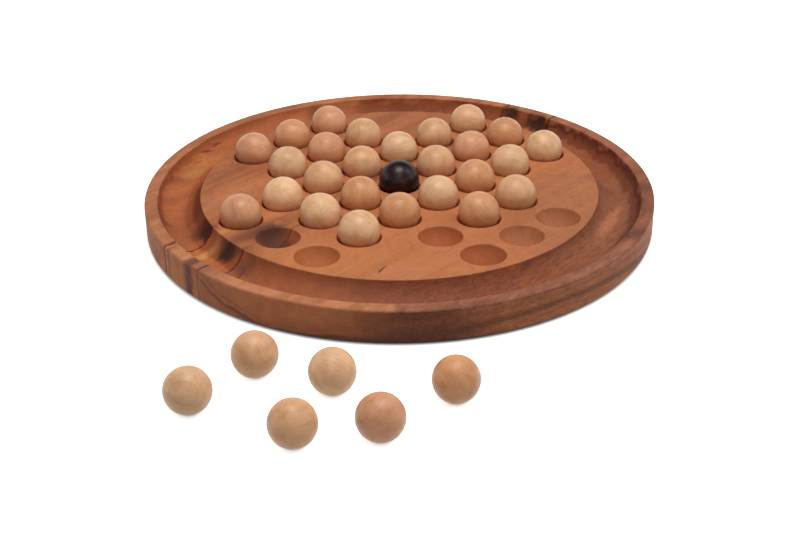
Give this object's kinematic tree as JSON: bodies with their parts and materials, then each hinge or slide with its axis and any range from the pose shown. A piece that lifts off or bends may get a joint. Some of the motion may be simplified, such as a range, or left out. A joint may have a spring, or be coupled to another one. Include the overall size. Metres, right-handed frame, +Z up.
{
  "type": "round solitaire board",
  "caption": "Round turned wooden solitaire board with a cross of dished seats, a groove round the field and wooden balls as its pieces.",
  "frame": {"origin": "centre of the board's flat underside", "axes": "+Z up out of the board; +Y along the planks and the rows' numbers; +X along the columns a to g; the loose balls lie towards +X and -Y"},
  "size_m": [0.3227, 0.3807, 0.0356],
  "materials": {
    "board_wood": "satin",
    "pale_ball_wood": "satin varnish",
    "dark_ball_wood": "satin varnish"
  },
  "bodies": {
    "board": {"left_plank": "board_wood", "middle_plank": "board_wood", "right_plank": "board_wood"},
    "ball_c1_body": {"ball_c1": "pale_ball_wood"},
    "ball_c2_body": {"ball_c2": "pale_ball_wood"},
    "ball_d2_body": {"ball_d2": "pale_ball_wood"},
    "ball_e2_body": {"ball_e2": "pale_ball_wood"},
    "ball_a3_body": {"ball_a3": "pale_ball_wood"},
    "ball_b3_body": {"ball_b3": "pale_ball_wood"},
    "ball_c3_body": {"ball_c3": "pale_ball_wood"},
    "ball_d3_body": {"ball_d3": "pale_ball_wood"},
    "ball_e3_body": {"ball_e3": "pale_ball_wood"},
    "ball_a4_body": {"ball_a4": "pale_ball_wood"},
    "ball_b4_body": {"ball_b4": "pale_ball_wood"},
    "ball_c4_body": {"ball_c4": "pale_ball_wood"},
    "ball_d4_body": {"ball_d4": "dark_ball_wood"},
    "ball_e4_body": {"ball_e4": "pale_ball_wood"},
    "ball_f4_body": {"ball_f4": "pale_ball_wood"},
    "ball_a5_body": {"ball_a5": "pale_ball_wood"},
    "ball_b5_body": {"ball_b5": "pale_ball_wood"},
    "ball_c5_body": {"ball_c5": "pale_ball_wood"},
    "ball_d5_body": {"ball_d5": "pale_ball_wood"},
    "ball_e5_body": {"ball_e5": "pale_ball_wood"},
    "ball_f5_body": {"ball_f5": "pale_ball_wood"},
    "ball_c6_body": {"ball_c6": "pale_ball_wood"},
    "ball_d6_body": {"ball_d6": "pale_ball_wood"},
    "ball_e6_body": {"ball_e6": "pale_ball_wood"},
    "ball_c7_body": {"ball_c7": "pale_ball_wood"},
    "ball_d7_body": {"ball_d7": "pale_ball_wood"},
    "ball_e7_body": {"ball_e7": "pale_ball_wood"},
    "loose_ball_1_body": {"loose_ball_1": "pale_ball_wood"},
    "loose_ball_2_body": {"loose_ball_2": "pale_ball_wood"},
    "loose_ball_3_body": {"loose_ball_3": "pale_ball_wood"},
    "loose_ball_4_body": {"loose_ball_4": "pale_ball_wood"},
    "loose_ball_5_body": {"loose_ball_5": "pale_ball_wood"},
    "loose_ball_6_body": {"loose_ball_6": "pale_ball_wood"}
  },
  "joints": [
    {"name": "ball_c1_lift", "type": "slide", "parent": "board", "child": "ball_c1_body", "axis": [0, 0, 1], "range_m": [0, 0.03]},
    {"name": "ball_c2_lift", "type": "slide", "parent": "board", "child": "ball_c2_body", "axis": [0, 0, 1], "range_m": [0, 0.03]},
    {"name": "ball_d2_lift", "type": "slide", "parent": "board", "child": "ball_d2_body", "axis": [0, 0, 1], "range_m": [0, 0.03]},
    {"name": "ball_e2_lift", "type": "slide", "parent": "board", "child": "ball_e2_body", "axis": [0, 0, 1], "range_m": [0, 0.03]},
    {"name": "ball_a3_lift", "type": "slide", "parent": "board", "child": "ball_a3_body", "axis": [0, 0, 1], "range_m": [0, 0.03]},
    {"name": "ball_b3_lift", "type": "slide", "parent": "board", "child": "ball_b3_body", "axis": [0, 0, 1], "range_m": [0, 0.03]},
    {"name": "ball_c3_lift", "type": "slide", "parent": "board", "child": "ball_c3_body", "axis": [0, 0, 1], "range_m": [0, 0.03]},
    {"name": "ball_d3_lift", "type": "slide", "parent": "board", "child": "ball_d3_body", "axis": [0, 0, 1], "range_m": [0, 0.03]},
    {"name": "ball_e3_lift", "type": "slide", "parent": "board", "child": "ball_e3_body", "axis": [0, 0, 1], "range_m": [0, 0.03]},
    {"name": "ball_a4_lift", "type": "slide", "parent": "board", "child": "ball_a4_body", "axis": [0, 0, 1], "range_m": [0, 0.03]},
    {"name": "ball_b4_lift", "type": "slide", "parent": "board", "child": "ball_b4_body", "axis": [0, 0, 1], "range_m": [0, 0.03]},
    {"name": "ball_c4_lift", "type": "slide", "parent": "board", "child": "ball_c4_body", "axis": [0, 0, 1], "range_m": [0, 0.03]},
    {"name": "ball_d4_lift", "type": "slide", "parent": "board", "child": "ball_d4_body", "axis": [0, 0, 1], "range_m": [0, 0.03]},
    {"name": "ball_e4_lift", "type": "slide", "parent": "board", "child": "ball_e4_body", "axis": [0, 0, 1], "range_m": [0, 0.03]},
    {"name": "ball_f4_lift", "type": "slide", "parent": "board", "child": "ball_f4_body", "axis": [0, 0, 1], "range_m": [0, 0.03]},
    {"name": "ball_a5_lift", "type": "slide", "parent": "board", "child": "ball_a5_body", "axis": [0, 0, 1], "range_m": [0, 0.03]},
    {"name": "ball_b5_lift", "type": "slide", "parent": "board", "child": "ball_b5_body", "axis": [0, 0, 1], "range_m": [0, 0.03]},
    {"name": "ball_c5_lift", "type": "slide", "parent": "board", "child": "ball_c5_body", "axis": [0, 0, 1], "range_m": [0, 0.03]},
    {"name": "ball_d5_lift", "type": "slide", "parent": "board", "child": "ball_d5_body", "axis": [0, 0, 1], "range_m": [0, 0.03]},
    {"name": "ball_e5_lift", "type": "slide", "parent": "board", "child": "ball_e5_body", "axis": [0, 0, 1], "range_m": [0, 0.03]},
    {"name": "ball_f5_lift", "type": "slide", "parent": "board", "child": "ball_f5_body", "axis": [0, 0, 1], "range_m": [0, 0.03]},
    {"name": "ball_c6_lift", "type": "slide", "parent": "board", "child": "ball_c6_body", "axis": [0, 0, 1], "range_m": [0, 0.03]},
    {"name": "ball_d6_lift", "type": "slide", "parent": "board", "child": "ball_d6_body", "axis": [0, 0, 1], "range_m": [0, 0.03]},
    {"name": "ball_e6_lift", "type": "slide", "parent": "board", "child": "ball_e6_body", "axis": [0, 0, 1], "range_m": [0, 0.03]},
    {"name": "ball_c7_lift", "type": "slide", "parent": "board", "child": "ball_c7_body", "axis": [0, 0, 1], "range_m": [0, 0.03]},
    {"name": "ball_d7_lift", "type": "slide", "parent": "board", "child": "ball_d7_body", "axis": [0, 0, 1], "range_m": [0, 0.03]},
    {"name": "ball_e7_lift", "type": "slide", "parent": "board", "child": "ball_e7_body", "axis": [0, 0, 1], "range_m": [0, 0.03]},
    {"name": "loose_ball_1_lift", "type": "slide", "parent": "board", "child": "loose_ball_1_body", "axis": [0, 0, 1], "range_m": [0, 0.03]},
    {"name": "loose_ball_2_lift", "type": "slide", "parent": "board", "child": "loose_ball_2_body", "axis": [0, 0, 1], "range_m": [0, 0.03]},
    {"name": "loose_ball_3_lift", "type": "slide", "parent": "board", "child": "loose_ball_3_body", "axis": [0, 0, 1], "range_m": [0, 0.03]},
    {"name": "loose_ball_4_lift", "type": "slide", "parent": "board", "child": "loose_ball_4_body", "axis": [0, 0, 1], "range_m": [0, 0.03]},
    {"name": "loose_ball_5_lift", "type": "slide", "parent": "board", "child": "loose_ball_5_body", "axis": [0, 0, 1], "range_m": [0, 0.03]},
    {"name": "loose_ball_6_lift", "type": "slide", "parent": "board", "child": "loose_ball_6_body", "axis": [0, 0, 1], "range_m": [0, 0.03]}
  ]
}
